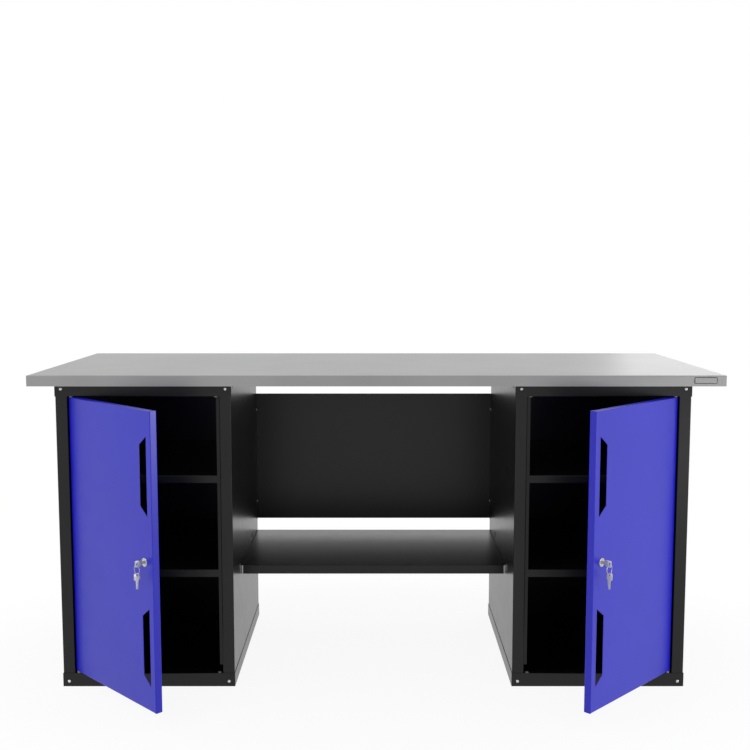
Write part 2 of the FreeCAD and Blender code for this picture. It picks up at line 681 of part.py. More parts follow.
def bridge_fasteners(fasteners):
    """Fasteners of the left pedestal's inner wall, and their mirror images on the right one."""
    sides = []
    for seat, outward, grip in fasteners:
        left, right = both_sides([seat])
        sides.append((left, outward, grip))
        sides.append((right, outward * -1, grip))
    return sides


def worktop_screws():
    return Part.makeCompound([
        screw(WOOD_SCREW, WOOD_SCREW_HEAD, SCREW_HEAD_HEIGHT, seat, DOWNWARD, WOOD_SCREW_LENGTH)
        for seat in both_sides(wood_screw_places())
    ])


def middle_shelf():
    top = MIDDLE_SHELF_TOP
    bottom = top - MIDDLE_SHELF_RIM
    front = MIDDLE_SHELF_FRONT
    back = MIDDLE_SHELF_BACK
    left_x = BRIDGE_LEFT + SHEET / 2
    right_x = BRIDGE_RIGHT - SHEET / 2
    plate_z = top - SHEET / 2
    shelf = folded_sheet(
        [(left_x, bottom), (left_x, plate_z), (right_x, plate_z), (right_x, bottom)],
        SHEET, lambda x, z: at(x, front, z), at(0, back - front, 0))
    rim_left = BRIDGE_LEFT + MIDDLE_RIM_SHORT
    rim_right = BRIDGE_RIGHT - MIDDLE_RIM_SHORT
    for edge_y, inward in ((front, 1), (back, -1)):
        fold_y = edge_y + inward * OUTSIDE_BEND
        rim_y = edge_y + inward * SHEET / 2
        clearing = block(rim_left, rim_right, min(edge_y, fold_y), max(edge_y, fold_y), top - SHEET, top)
        rim = folded_sheet(
            [(rim_y, bottom), (rim_y, plate_z), (edge_y + inward * 2 * OUTSIDE_BEND, plate_z)],
            SHEET, lambda y, z: at(rim_left, y, z), at(rim_right - rim_left, 0, 0))
        shelf = with_flange(shelf, clearing, rim)
    return drilled(shelf, bridge_fasteners(shelf_fasteners()))


def rear_screen():
    bottom = SCREEN_BOTTOM
    top = SCREEN_TOP
    flange_front = SCREEN_BACK - SCREEN_FLANGE
    plate_y = SCREEN_BACK - SHEET / 2
    left_x = BRIDGE_LEFT + SHEET / 2
    right_x = BRIDGE_RIGHT - SHEET / 2
    screen = folded_sheet(
        [(left_x, flange_front), (left_x, plate_y), (right_x, plate_y), (right_x, flange_front)],
        SHEET, lambda x, y: at(x, y, bottom), at(0, 0, top - bottom))
    for end_z, inward in ((bottom, 1), (top, -1)):
        corner = [
            at(BRIDGE_LEFT, flange_front, end_z),
            at(BRIDGE_LEFT, flange_front + SCREEN_CHAMFER, end_z),
            at(BRIDGE_LEFT, flange_front, end_z + inward * SCREEN_CHAMFER),
        ]
        screen = screen.cut(prism(corner, at(BRIDGE_RIGHT - BRIDGE_LEFT, 0, 0)))
    return drilled(screen, bridge_fasteners(screen_fasteners()))


def screws_of(fasteners):
    return Part.makeCompound([frame_screw(*fastener) for fastener in bridge_fasteners(fasteners)])


def nuts_of(fasteners):
    return Part.makeCompound([frame_nut(*fastener) for fastener in bridge_fasteners(fasteners)])


def pedestal_pieces():
    """One pedestal's pieces, drawn as the left one with its door open as it stands at rest."""
    fixed = {
        "base_tray": base_tray(),
        "top_cap": top_cap(),
        "outer_side": outer_side(),
        "inner_side": inner_side(),
        "back_panel": back_panel(),
        "upper_shelf": pedestal_shelf(UPPER_SHELF_TOP),
        "lower_shelf": pedestal_shelf(LOWER_SHELF_TOP),
        "frame_screws": frame_screws(),
        "frame_nuts": frame_nuts(),
        "pivot_bushes": pivot_bushes(),
    }
    on_door = {
        "door_panel": door_panel(),
        "upper_pivot": upper_pivot(),
        "lower_pivot": lower_pivot(),
        "pivot_washer": pivot_washer(),
        "lock_housing": lock_housing(),
        "lock_nut": lock_nut(),
        "lock_plug": lock_plug(),
        "lock_cam": lock_cam(),
        "cam_screw": cam_screw(),
        "key": key(),
        "key_ring": key_ring(),
        "spare_key": spare_key(),
    }
    for shape in on_door.values():
        shape.rotate(at(PIVOT_X, PIVOT_Y, 0), UPWARD, -DOOR_OPEN)
    return {**fixed, **on_door}


def bench_pieces():
    pieces = {
        "worktop_skin": worktop_skin(),
        "worktop_core": worktop_core(),
        "worktop_screws": worktop_screws(),
        "middle_shelf": middle_shelf(),
        "middle_shelf_screws": screws_of(shelf_fasteners()),
        "middle_shelf_nuts": nuts_of(shelf_fasteners()),
        "rear_screen": rear_screen(),
        "screen_screws": screws_of(screen_fasteners()),
        "screen_nuts": nuts_of(screen_fasteners()),
    }
    for name, shape in pedestal_pieces().items():
        left = shape.translated(at(LEFT_EDGE, 0, 0))
        pieces["left_" + name] = left
        pieces["right_" + name] = left.mirror(at(PAIR_CENTRE, 0, 0), RIGHTWARD)
    return {name: shape.translated(at(0, -ORIGIN_Y, 0)) for name, shape in pieces.items()}


os.makedirs("parts", exist_ok=True)
for piece_name, piece in bench_pieces().items():
    piece.exportStep("parts/" + piece_name + ".step")
    print(piece_name, len(piece.Solids), "solid", round(piece.Volume), "mm3", piece.isValid())
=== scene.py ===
# %% [markdown]
# # A double pedestal workbench
# This notebook dresses a workbench for its picture. Every sheet, screw and pivot of the bench
# already exists as a CAD piece at its real size, so nothing here moves or resizes one. What is
# added is the finish of each surface, and finer versions of the small hardware: screws with
# their cross recess, chamfered nuts, threaded locks, keys with their cuts and split rings. One
# small plain plate on the worktop's front edge is new.
# All lengths are in metres. X runs to the right, Y from front to back and Z up.

# %% Load the bench
import json
import math
import random

import bmesh
import bpy
from mathutils import Matrix, Vector


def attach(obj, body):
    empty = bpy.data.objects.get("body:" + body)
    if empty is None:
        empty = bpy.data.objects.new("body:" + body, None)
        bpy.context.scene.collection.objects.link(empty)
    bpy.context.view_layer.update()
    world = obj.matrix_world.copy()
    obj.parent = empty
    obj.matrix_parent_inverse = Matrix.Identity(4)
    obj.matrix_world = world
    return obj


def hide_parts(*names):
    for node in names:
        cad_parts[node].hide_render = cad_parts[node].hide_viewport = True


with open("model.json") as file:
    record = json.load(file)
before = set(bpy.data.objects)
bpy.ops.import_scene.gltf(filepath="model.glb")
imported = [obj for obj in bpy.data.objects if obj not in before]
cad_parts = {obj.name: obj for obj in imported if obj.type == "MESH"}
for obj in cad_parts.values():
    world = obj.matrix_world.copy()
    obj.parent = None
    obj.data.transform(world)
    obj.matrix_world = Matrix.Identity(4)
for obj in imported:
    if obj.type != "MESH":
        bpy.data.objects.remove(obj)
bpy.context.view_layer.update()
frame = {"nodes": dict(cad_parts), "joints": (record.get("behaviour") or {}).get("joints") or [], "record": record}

nodes = frame["nodes"]

# %% [markdown]
# ## A small kit for node materials
# A finish is a tree of nodes that ends in one Principled shader. Three patterns come back in
# almost every finish here: noise at some scale, a range that the noise is mapped to, and a bump
# made from it. Each gets a helper, so that a finish below reads like a recipe. The noise is laid
# out in the piece's own space, which is in metres, so a scale of 500 gives features of about
# 2 mm, and the pattern stays put when a door swings. A painted image could carry such detail
# too, but it needs an unwrapped mesh, and up close it runs out of pixels.

# %% A new finish
finishes = {}


def new_finish(name, even):
    """A node material; even holds the values that are the same all over its surface."""
    finish = bpy.data.materials.new(name)
    finish.use_nodes = True
    finishes[name] = finish
    tree = finish.node_tree
    shader = tree.nodes["Principled BSDF"]
    for socket, value in even.items():
        shader.inputs[socket].default_value = value
    return tree, shader


def add_node(tree, kind, values=None, **settings):
    """A shader node of a kind, with its settings and the values of its sockets."""
    node = tree.nodes.new("ShaderNode" + kind)
    for setting, value in settings.items():
        setattr(node, setting, value)
    for socket, value in (values or {}).items():
        node.inputs[socket].default_value = value
    return node


print("ready to start a finish")

# %% Noise in a piece's own space
def own_space(tree, stretch=(1, 1, 1)):
    """The piece's own space; a stretch under 1 draws a pattern out along that axis."""
    place = add_node(tree, "TexCoord")
    mapping = add_node(tree, "Mapping", {"Scale": stretch})
    tree.links.new(place.outputs["Object"], mapping.inputs["Vector"])
    return mapping.outputs["Vector"]


def grain(tree, scale, detail=2.0, stretch=(1, 1, 1)):
    """Noise with about scale features per metre; more detail adds finer layers to it."""
    texture = add_node(tree, "TexNoise", {"Scale": scale, "Detail": detail})
    tree.links.new(own_space(tree, stretch), texture.inputs["Vector"])
    return texture.outputs["Fac"]


print("ready to lay noise on a finish")

# %% Shades, levels and relief
NOISE_LOW = 0.3
NOISE_HIGH = 0.7


def shades(tree, source, dark, light):
    """Two colours, mixed by the middle of a noise's range."""
    ramp = add_node(tree, "ValToRGB")
    stops = ramp.color_ramp.elements
    for stop, position, colour in zip(stops, (NOISE_LOW, NOISE_HIGH), (dark, light)):
        stop.position = position
        stop.color = (*colour, 1)
    tree.links.new(source, ramp.inputs["Fac"])
    return ramp.outputs["Color"]


def levels(tree, source, low, high):
    """The middle of a noise's range, mapped to the range from low to high."""
    ends = {"From Min": NOISE_LOW, "From Max": NOISE_HIGH, "To Min": low, "To Max": high}
    mapped = add_node(tree, "MapRange", ends)
    tree.links.new(source, mapped.inputs["Value"])
    return mapped.outputs["Result"]


def relief(tree, source, depth, strength, under=None):
    """A bump of that depth; under is the normal of a coarser relief that it lies on."""
    bump = add_node(tree, "Bump", {"Distance": depth, "Strength": strength})
    tree.links.new(source, bump.inputs["Height"])
    if under is not None:
        tree.links.new(under, bump.inputs["Normal"])
    return bump.outputs["Normal"]


print("noise is used from", NOISE_LOW, "to", NOISE_HIGH, "of its range")

# %% [markdown]
# ## Powder coat
# The frame and the doors are folded from sheet and powder coated. Baked powder is a dielectric
# with a soft gloss: it reflects little of what is straight in front of it and a lot at a
# grazing angle, which is why the walls beside the knee space look grey while the posts look
# black. Up close the coat has orange peel, a relief with a grain of two or three millimetres,
# and the sheet under it is never quite flat, so reflections wander a little. The shader's Coat
# could add a clear second layer, but powder is one layer with its pigment in it, so one
# reflection is enough. One function makes both coats, because little but the pigment differs.

# %% Frame and door paint
PIGMENT_SCALE = 5
GLOSS_SCALE = 22
WAVE_SCALE = 7
WAVE_DEPTH = 0.001
WAVE_STRENGTH = 0.03
PEEL_SCALE = 420
PEEL_DEPTH = 0.00003
PEEL_STRENGTH = 0.06


def powder_coat(name, shade_pair, specular, gloss):
    """A baked coat between two nearby shades; gloss is the range of its roughness."""
    tree, shader = new_finish(name, {"Specular IOR Level": specular})
    link = tree.links.new
    pigment = grain(tree, PIGMENT_SCALE, detail=3)
    link(shades(tree, pigment, *shade_pair), shader.inputs["Base Color"])
    link(levels(tree, grain(tree, GLOSS_SCALE, detail=4), *gloss), shader.inputs["Roughness"])
    wave = relief(tree, grain(tree, WAVE_SCALE, detail=1), WAVE_DEPTH, WAVE_STRENGTH)
    peel = relief(tree, grain(tree, PEEL_SCALE, detail=1), PEEL_DEPTH, PEEL_STRENGTH, wave)
    link(peel, shader.inputs["Normal"])


FRAME_SHADES = (0.0028, 0.0028, 0.003), (0.0045, 0.0045, 0.0047)
DOOR_SHADES = (0.0055, 0.0055, 0.395), (0.0075, 0.0075, 0.425)
powder_coat("frame_paint", FRAME_SHADES, specular=0.31, gloss=(0.278, 0.302))
powder_coat("door_paint", DOOR_SHADES, specular=0.44, gloss=(0.28, 0.335))
print("coats:", sorted(finishes))

# %% [markdown]
# ## Worktop steel
# The worktop is a pan of zinc-coated sheet, rolled and levelled along its length. That leaves
# hair lines along X and soft clouds, which show best on the front edge. A metal has no colour
# under its reflection, so the clouds go into its base colour, long shallow bands make the
# reflection wander, and the hair lines go into the roughness and a fine relief on the bands.
# The shader's Anisotropic could draw out the highlights without any pattern, but noise drawn
# out along X also shows the lines themselves.

# %% Worktop finish
CLOUD_SCALE = 6
CLOUD_STRETCH = (0.8, 0.5, 0.5)
HAIR_SCALE = 650
HAIR_STRETCH = (0.012, 1, 1)
HAIR_DEPTH = 0.00002
HAIR_STRENGTH = 0.25
BAND_SCALE = 7
BAND_STRETCH = (1, 0.6, 0.6)
BAND_DEPTH = 0.002
BAND_STRENGTH = 0.03
STEEL_SHADES = (0.265, 0.266, 0.269), (0.297, 0.297, 0.299)
STEEL_GLOSS = (0.3, 0.4)

tree, shader = new_finish("worktop_steel", {"Metallic": 1.0})
link = tree.links.new
clouds = grain(tree, CLOUD_SCALE, 2, CLOUD_STRETCH)
link(shades(tree, clouds, *STEEL_SHADES), shader.inputs["Base Color"])
hair = grain(tree, HAIR_SCALE, 3, HAIR_STRETCH)
link(levels(tree, hair, *STEEL_GLOSS), shader.inputs["Roughness"])
bands = relief(tree, grain(tree, BAND_SCALE, 1, BAND_STRETCH), BAND_DEPTH, BAND_STRENGTH)
link(relief(tree, hair, HAIR_DEPTH, HAIR_STRENGTH, bands), shader.inputs["Normal"])
print("worktop steel: clouds, bands and hair lines along X")

# %% [markdown]
# ## Plated hardware
# Screws, nuts, pivots and the cam are zinc plated, the lock is chrome plated and the keys are
# nickel. All three are metals that differ in tint, in gloss and in how much the plating
# clouds. Each could have a tree of its own, but the trees would repeat each other, so one
# function takes what differs as arguments. A fine relief stands for the tool marks.

# %% Zinc, chrome and nickel
PLATING_CLOUD_SCALE = 160
PLATING_GLOSS_SCALE = 700
TOOL_MARK_SCALE = 1800
TOOL_MARK_STRENGTH = 0.3


def plating(name, dark, light, gloss, marks):
    """A plated metal: gloss is the range of its roughness, marks the depth of its tool marks."""
    tree, shader = new_finish(name, {"Metallic": 1.0})
    link = tree.links.new
    tint = grain(tree, PLATING_CLOUD_SCALE, detail=3)
    link(shades(tree, tint, dark, light), shader.inputs["Base Color"])
    link(levels(tree, grain(tree, PLATING_GLOSS_SCALE, detail=3), *gloss), shader.inputs["Roughness"])
    tooling = relief(tree, grain(tree, TOOL_MARK_SCALE), marks, TOOL_MARK_STRENGTH)
    link(tooling, shader.inputs["Normal"])


plating("zinc", (0.55, 0.56, 0.58), (0.74, 0.74, 0.73), gloss=(0.28, 0.38), marks=0.00003)
plating("lock_chrome", (0.47, 0.47, 0.47), (0.57, 0.57, 0.56), gloss=(0.14, 0.22), marks=0.00001)
plating("key_nickel", (0.41, 0.41, 0.44), (0.5, 0.5, 0.53), gloss=(0.38, 0.48), marks=0.00002)
print("plated finishes: zinc, lock_chrome, key_nickel")

# %% [markdown]
# ## Nylon and board
# The pivot bushes are grey nylon, a milky plastic. A little subsurface light gives it depth.
# The board inside the worktop only shows from below: it is pressed from wood chips, so cells
# of a Voronoi pattern stand for chips of different shades, drawn out along the board. Noise
# would give soft clouds there, while a cell has one shade and an edge, as a chip has.

# %% Bush nylon
MILK_SCALE = 250
NYLON_SHADES = (0.17, 0.17, 0.165), (0.22, 0.22, 0.21)
NYLON_GLOSS = (0.4, 0.52)
MOULD_SCALE = 1500
MOULD_DEPTH = 0.00003
MOULD_STRENGTH = 0.2

tree, shader = new_finish("bush_nylon", {"Subsurface Weight": 0.2, "Subsurface Scale": 0.002})
link = tree.links.new
milk = grain(tree, MILK_SCALE)
link(shades(tree, milk, *NYLON_SHADES), shader.inputs["Base Color"])
link(levels(tree, milk, *NYLON_GLOSS), shader.inputs["Roughness"])
mould = relief(tree, grain(tree, MOULD_SCALE, detail=1), MOULD_DEPTH, MOULD_STRENGTH)
link(mould, shader.inputs["Normal"])
print("bush nylon ready")

# %% Core board
CHIPS_PER_METRE = 170
CHIP_STRETCH = (0.35, 1, 1)
CHIP_SHADES = (0.27, 0.165, 0.085), (0.5, 0.36, 0.21)
CHIP_DEPTH = 0.0004
CHIP_STRENGTH = 0.4

tree, shader = new_finish("core_board", {"Roughness": 0.78})
link = tree.links.new
chips = add_node(tree, "TexVoronoi", {"Scale": CHIPS_PER_METRE})
link(own_space(tree, CHIP_STRETCH), chips.inputs["Vector"])
split = add_node(tree, "SeparateColor")
link(chips.outputs["Color"], split.inputs["Color"])
link(shades(tree, split.outputs["Red"], *CHIP_SHADES), shader.inputs["Base Color"])
chip_edges = relief(tree, chips.outputs["Distance"], CHIP_DEPTH, CHIP_STRENGTH)
link(chip_edges, shader.inputs["Normal"])
print("finishes so far:", sorted(finishes))

# %% [markdown]
# ## Dress the CAD nodes
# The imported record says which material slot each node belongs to, and the finishes above carry
# the names of those slots. Each node could be given its finish by hand, but a loop that reads
# the record can't forget one. Only the node's material slots change, never its shape.

# %% Assign a finish to every node
slot_of = {row["node"]: row["material_slot"] for row in frame["record"]["subparts"]}
for name, node in nodes.items():
    node.data.materials.clear()
    node.data.materials.append(finishes[slot_of[name]])
print("dressed", len(nodes), "nodes in", len(set(slot_of.values())), "finishes")

# %% [markdown]
# ## Round pieces from rings
# Screws, nuts and locks are round, so they are made the way a lathe makes them: from a stack of
# rings. A ring here is a function that gives radius and height for an angle. A plain ring
# ignores the angle, a hexagon's radius follows it, and a thread is a stack of rings whose
# radius rises and falls as the angle goes round, each a little further on than the one below.
# Blender's Screw modifier could sweep a real helix, but rings join up with plain ones above
# and below them by themselves.

# %% Rings
RINGS_PER_PITCH = 4


def ring(radius, height):
    """A plain ring, the same all round."""
    return lambda angle: (radius, height)


def threaded(core, crest, pitch, height):
    """A ring of a thread: one triangular ridge from the core to the crest radius and back."""
    def at(angle):
        phase = (height / pitch - angle / math.tau) % 1
        return core + (crest - core) * (1 - abs(2 * phase - 1)), height
    return at


def threads(core, crest, pitch, start, end):
    """Rings that carry a thread from one height to another."""
    count = max(2, round(abs(end - start) / pitch * RINGS_PER_PITCH))
    heights = [start + (end - start) * step / count for step in range(count + 1)]
    return [threaded(core, crest, pitch, height) for height in heights]


def hexagon(flats, height_at):
    """A ring that follows a hexagon, with a height that depends on how far out a point is."""
    def at(angle):
        from_flat = (angle + math.pi / 6) % (math.pi / 3) - math.pi / 6
        radius = flats / 2 / math.cos(from_flat)
        return radius, height_at(radius)
    return at


print("a thread has", RINGS_PER_PITCH, "rings to a pitch")

# %% The lathe
SEGMENTS = 36


def lathe(rings, hollow=False):
    """A solid round Z. It is capped at both ends, or closed on itself if it is hollow."""
    shape = bmesh.new()
    rows = []
    for outline in rings:
        row = []
        for step in range(SEGMENTS):
            angle = math.tau * step / SEGMENTS
            radius, height = outline(angle)
            row.append(shape.verts.new((radius * math.cos(angle), radius * math.sin(angle), height)))
        rows.append(row)
    pairs = list(zip(rows, rows[1:])) + ([(rows[-1], rows[0])] if hollow else [])
    for lower, upper in pairs:
        for step in range(SEGMENTS):
            after = (step + 1) % SEGMENTS
            shape.faces.new((lower[step], lower[after], upper[after], upper[step]))
    if not hollow:
        shape.faces.new(rows[0])
        shape.faces.new(rows[-1])
    bmesh.ops.recalc_face_normals(shape, faces=shape.faces)
    return shape


print("lathe ready, with", SEGMENTS, "segments round a piece")

# %% [markdown]
# ## Making and carving pieces
# A mesh is built in a bmesh and then becomes an object. Each new object rides on the CAD body
# that carries it, names the material slot it belongs to, and stands in for the CAD node that it
# refines. The operators in bpy.ops could do this too, but they act on what happens to be
# selected, while bmesh acts on what it is given. Recesses are carved with Blender's Boolean
# modifier, evaluated once, so that the finished mesh holds the recess and no modifier is left.

# %% Objects and carving
def object_of(name, shape):
    """A new object in the scene, made from a bmesh, which is freed."""
    mesh = bpy.data.meshes.new(name)
    shape.to_mesh(mesh)
    shape.free()
    made = bpy.data.objects.new(name, mesh)
    bpy.context.scene.collection.objects.link(made)
    return made


def carved(shape, *cutters):
    """The shape without what the cutters take out of it, as a new bmesh."""
    blank = object_of("blank", shape)
    tools = [object_of("cutter", cutter) for cutter in cutters]
    for tool in tools:
        cut = blank.modifiers.new("cut", "BOOLEAN")
        cut.object = tool
        cut.solver = "EXACT"
    result = bmesh.new()
    result.from_object(blank, bpy.context.evaluated_depsgraph_get())
    for used in (blank, *tools):
        bpy.data.objects.remove(used)
    return result


def add_to(together, shape, place):
    """Adds a shape to others at a placement, as a solid of its own, and frees it."""
    part = bpy.data.meshes.new("part")
    shape.to_mesh(part)
    shape.free()
    part.transform(place)
    together.from_mesh(part)
    bpy.data.meshes.remove(part)


print("ready to carve shapes and gather them")

# %% Finished pieces
SMOOTH_ANGLE = math.radians(32)


def make_piece(name, shape, body, slot, *stands_for):
    """A finished piece on its body, in the finish of its slot."""
    bmesh.ops.recalc_face_normals(shape, faces=shape.faces)
    piece = object_of(name, shape)
    piece.data.materials.append(finishes[slot])
    piece.data.shade_smooth()
    piece.data.set_sharp_from_angle(angle=SMOOTH_ANGLE)
    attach(piece, body)
    if stands_for:
        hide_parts(*stands_for)
    return piece


print("edges are sharp from", round(math.degrees(SMOOTH_ANGLE)), "degrees")

# %% [markdown]
# ## Where the CAD has its hardware
# A node such as left_frame_screws holds many separate screws. Rather than write their places
# down again, the script reads them back: it joins the faces that share points into solids, and
# measures each solid. A screw is longer or shorter than it is wide, so the odd one out of its
# three sizes is its axis, and its head is at the end where the points lie furthest out.

# %% Separate solids of a node
def solids_of(node):
    """The points of each separate solid of a CAD node, to the nearest micrometre."""
    mesh = nodes[node].data
    point_of = [tuple(round(c, 6) for c in vertex.co) for vertex in mesh.vertices]
    leader = {point: point for point in point_of}

    def lead(point):
        while leader[point] != point:
            leader[point] = leader[leader[point]]
            point = leader[point]
        return point

    for polygon in mesh.polygons:
        first, *others = [point_of[index] for index in polygon.vertices]
        for other in others:
            leader[lead(other)] = lead(first)
    groups = {}
    for point in sorted(set(point_of)):
        groups.setdefault(lead(point), []).append(Vector(point))
    return [groups[key] for key in sorted(groups)]


print("left frame screws found:", len(solids_of("left_frame_screws")))

# %% Sizes of a solid
def extents(points):
    """The lowest and the highest corner of the box round some points."""
    low = Vector([min(point[axis] for point in points) for axis in range(3)])
    high = Vector([max(point[axis] for point in points) for axis in range(3)])
    return low, high


def odd_axis(sizes):
    """The axis whose size differs from the other two, which are the nearest to each other."""
    gaps = {axis: abs(sizes[(axis + 1) % 3] - sizes[(axis + 2) % 3]) for axis in range(3)}
    return min(gaps, key=gaps.get)


low, high = extents(solids_of("worktop_screws")[0])
print("a worktop screw lies along", "XYZ"[odd_axis(high - low)])

# %% Where a screw sits
# A point is on the rim if its distance from the axis, squared, is over this share of the
# head's width, squared.
RIM_SHARE = 0.2
UP = Vector((0, 0, 1))


def screw_place(points):
    """A placement at the seat of a screw's head, with Z outwards, and its sizes."""
    low, high = extents(points)
    sizes = high - low
    axis = odd_axis(sizes)
    head = sizes[(axis + 1) % 3]
    middle = (low + high) / 2
    rim = []
    for point in points:
        off_axis = (point - middle).length_squared - (point[axis] - middle[axis]) ** 2
        if off_axis > RIM_SHARE * head ** 2:
            rim.append(point[axis])
    outward = Vector((0, 0, 0))
    outward[axis] = 1 if sum(rim) / len(rim) > middle[axis] else -1
    seat = middle.copy()
    seat[axis] = min(rim) if outward[axis] > 0 else max(rim)
    end = high[axis] if outward[axis] > 0 else low[axis]
    turn = UP.rotation_difference(outward).to_matrix().to_4x4()
    head_height = abs(end - seat[axis])
    return Matrix.Translation(seat) @ turn, head, head_height, sizes[axis] - head_height


place, head, head_height, length = screw_place(solids_of("worktop_screws")[0])
print("worktop screw: head", round(head * 1000, 1), "mm, shank", round(length * 1000, 1), "mm long")

# %% [markdown]
# ## Screws
# The frame's screws are zinc plated pan heads with a cross recess, and four of them are bright
# dots at the corners of each pedestal's front. The head is turned on the lathe with a dome,
# the shank gets its thread, and the recess is carved by a cross that narrows with depth, as the
# driver does. A bump could fake the recess, but a shape that shows belongs in the mesh. Every
# screw is turned by its own angle, because nobody lines them up, and a fixed seed keeps those
# angles the same in every run.

# %% An arm of the cross recess
# The floor's span is this share of the span at the top.
RECESS_FLOOR = 0.42


def recess_arm(span, width, top, floor, turn):
    """One arm of a cross, as a cutter that narrows from the height top down to the floor."""
    shape = bmesh.new()
    spin = Matrix.Rotation(turn, 3, "Z")
    rows = []
    for share, height in ((1.0, top), (RECESS_FLOOR, floor)):
        x = span / 2 * share
        y = width / 2 * (1 + share) / 2
        corners = ((-x, -y), (x, -y), (x, y), (-x, y))
        rows.append([shape.verts.new(spin @ Vector((*corner, height))) for corner in corners])
    shape.faces.new(reversed(rows[0]))
    shape.faces.new(rows[1])
    for corner in range(4):
        after = (corner + 1) % 4
        shape.faces.new((rows[0][corner], rows[0][after], rows[1][after], rows[1][corner]))
    bmesh.ops.recalc_face_normals(shape, faces=shape.faces)
    return shape


print("the recess narrows to", RECESS_FLOOR, "of its span")

# %% A pan head
# The wall and the broken edge are shares of the head's radius and height. The dome stops short
# of its quarter turn, which leaves a small flat on top.
HEAD_WALL = 0.3
SEAT_BREAK = (0.97, 0.08)
DOME_STEPS = 6
DOME_QUARTER = 6.6
DOME_FULLNESS = 0.55


def head_rings(radius, height):
    """A pan head from its seat up: a broken edge, an upright wall and a dome."""
    wall = height * HEAD_WALL
    seat, rise = SEAT_BREAK
    rings = [ring(radius * seat, 0), ring(radius, height * rise), ring(radius, wall)]
    for step in range(1, DOME_STEPS + 1):
        angle = math.pi / 2 * step / DOME_QUARTER
        reach = radius * math.cos(angle) ** DOME_FULLNESS
        rings.append(ring(reach, wall + (height - wall) * math.sin(angle)))
    return rings


print("a pan head has", DOME_STEPS, "steps in its dome")

# %% A screw
# Shares of the thread's radius, of the shank's diameter and of the shank's length.
THREAD_DEPTH = 0.12
TIP_SHARE = 0.7
THREAD_PITCH = 0.18
THREAD_SPAN = (0.02, 0.9)
# Shares of the head's width and of its height.
RECESS_SPAN = 0.56
RECESS_WIDTH = 0.15
RECESS_DEPTH = 0.62
RECESS_PAST = 1.05


def screw_shape(head, head_height, shank, length):
    """A pan head screw with its seat at Z = 0, its head above and its shank below."""
    crest = shank / 2
    core = crest * (1 - THREAD_DEPTH)
    start, end = (-share * length for share in THREAD_SPAN)
    rings = list(reversed(head_rings(head / 2, head_height)))
    rings.append(ring(crest, 0))
    rings += threads(core, crest, shank * THREAD_PITCH, start, end)
    rings.append(ring(core * TIP_SHARE, -length))
    top = head_height * RECESS_PAST
    floor = top - head_height * RECESS_DEPTH
    span = head * RECESS_SPAN
    width = head * RECESS_WIDTH
    arms = [recess_arm(span, width, top, floor, turn) for turn in (0, math.pi / 2)]
    return carved(lathe(rings), *arms)


print("a screw's recess takes", RECESS_SPAN, "of its head")

# %% Make the screws
FRAME_SHANK = 0.004
BOARD_SHANK = 0.005
random.seed(7)


def make_screws(node, shank):
    """Detailed screws in place of a node's plain ones, each turned by its own angle."""
    together = bmesh.new()
    solids = solids_of(node)
    for points in solids:
        place, head, head_height, length = screw_place(points)
        turn = Matrix.Rotation(random.uniform(0, math.pi / 2), 4, "Z")
        add_to(together, screw_shape(head, head_height, shank, length), place @ turn)
    piece = make_piece(node + "_detailed", together, "frame", "zinc", node)
    print(node, len(solids), "screws,", len(piece.data.polygons), "faces")


for node in ("left_frame_screws", "right_frame_screws", "screen_screws", "middle_shelf_screws"):
    make_screws(node, FRAME_SHANK)
make_screws("worktop_screws", BOARD_SHANK)

# %% [markdown]
# ## Nuts
# A nut is a hexagon whose corners are turned off at both faces, which leaves the curved edge
# that every real nut has. A cone could carve it, but the lathe makes that edge by itself: the
# further out a point of the hexagon's ring lies, the more its height drops. The nuts are read
# back from the CAD like the screws, and the smaller of a nut's two sizes across tells which way
# its flats point.

# %% A nut
CHAMFER = math.tan(math.radians(30))
FACE_SHARE = 0.94


def nut_shape(flats, height, bore):
    """A chamfered nut round the origin, with the middle of a flat along X."""
    face = flats / 2 * FACE_SHARE

    def top(radius):
        return height / 2 - (radius - face) * CHAMFER

    def bottom(radius):
        return -top(radius)

    return lathe([
        ring(bore / 2, -height / 2), ring(face, -height / 2), hexagon(flats, bottom),
        hexagon(flats, top), ring(face, height / 2), ring(bore / 2, height / 2),
    ], hollow=True)


print("a nut's round face takes", FACE_SHARE, "of its flats")

# %% Make the nuts
def make_nuts(node, body, bore, square=Matrix()):
    """Chamfered nuts in place of plain ones; square is the placement they lie square to."""
    together = bmesh.new()
    for points in solids_of(node):
        low, high = extents([square.inverted() @ point for point in points])
        sizes = high - low
        axis = odd_axis(sizes)
        flat = min((axis + 1) % 3, (axis + 2) % 3, key=lambda across: sizes[across])
        along = Vector([float(index == axis) for index in range(3)])
        side = Vector([float(index == flat) for index in range(3)])
        turn = Matrix((side, along.cross(side), along)).transposed().to_4x4()
        place = square @ Matrix.Translation((low + high) / 2) @ turn
        add_to(together, nut_shape(sizes[flat], sizes[axis], bore), place)
    piece = make_piece(node + "_detailed", together, body, slot_of[node], node)
    print(node, len(piece.data.polygons), "faces")


for node in ("left_frame_nuts", "right_frame_nuts", "screen_nuts", "middle_shelf_nuts"):
    make_nuts(node, "frame", FRAME_SHANK)

# %% [markdown]
# ## Cam locks
# The doors stand open at an angle, so their locks lie square to nothing in the world. Their
# angles could be written down here, but the joint that turns a lock already knows them. So each
# lock gets its placement from that joint: the origin lies in the door's face, Z points out of
# the door and Y up. In that space a lock is a plain turned piece. Its bezel has a rolled edge
# and a stepped face, and the barrel behind it is threaded and flattened on two sides, so that
# it can't turn in the door.

# %% Where a lock sits
SIDES = ("left", "right")
joints = {joint["name"]: joint for joint in frame["joints"]}


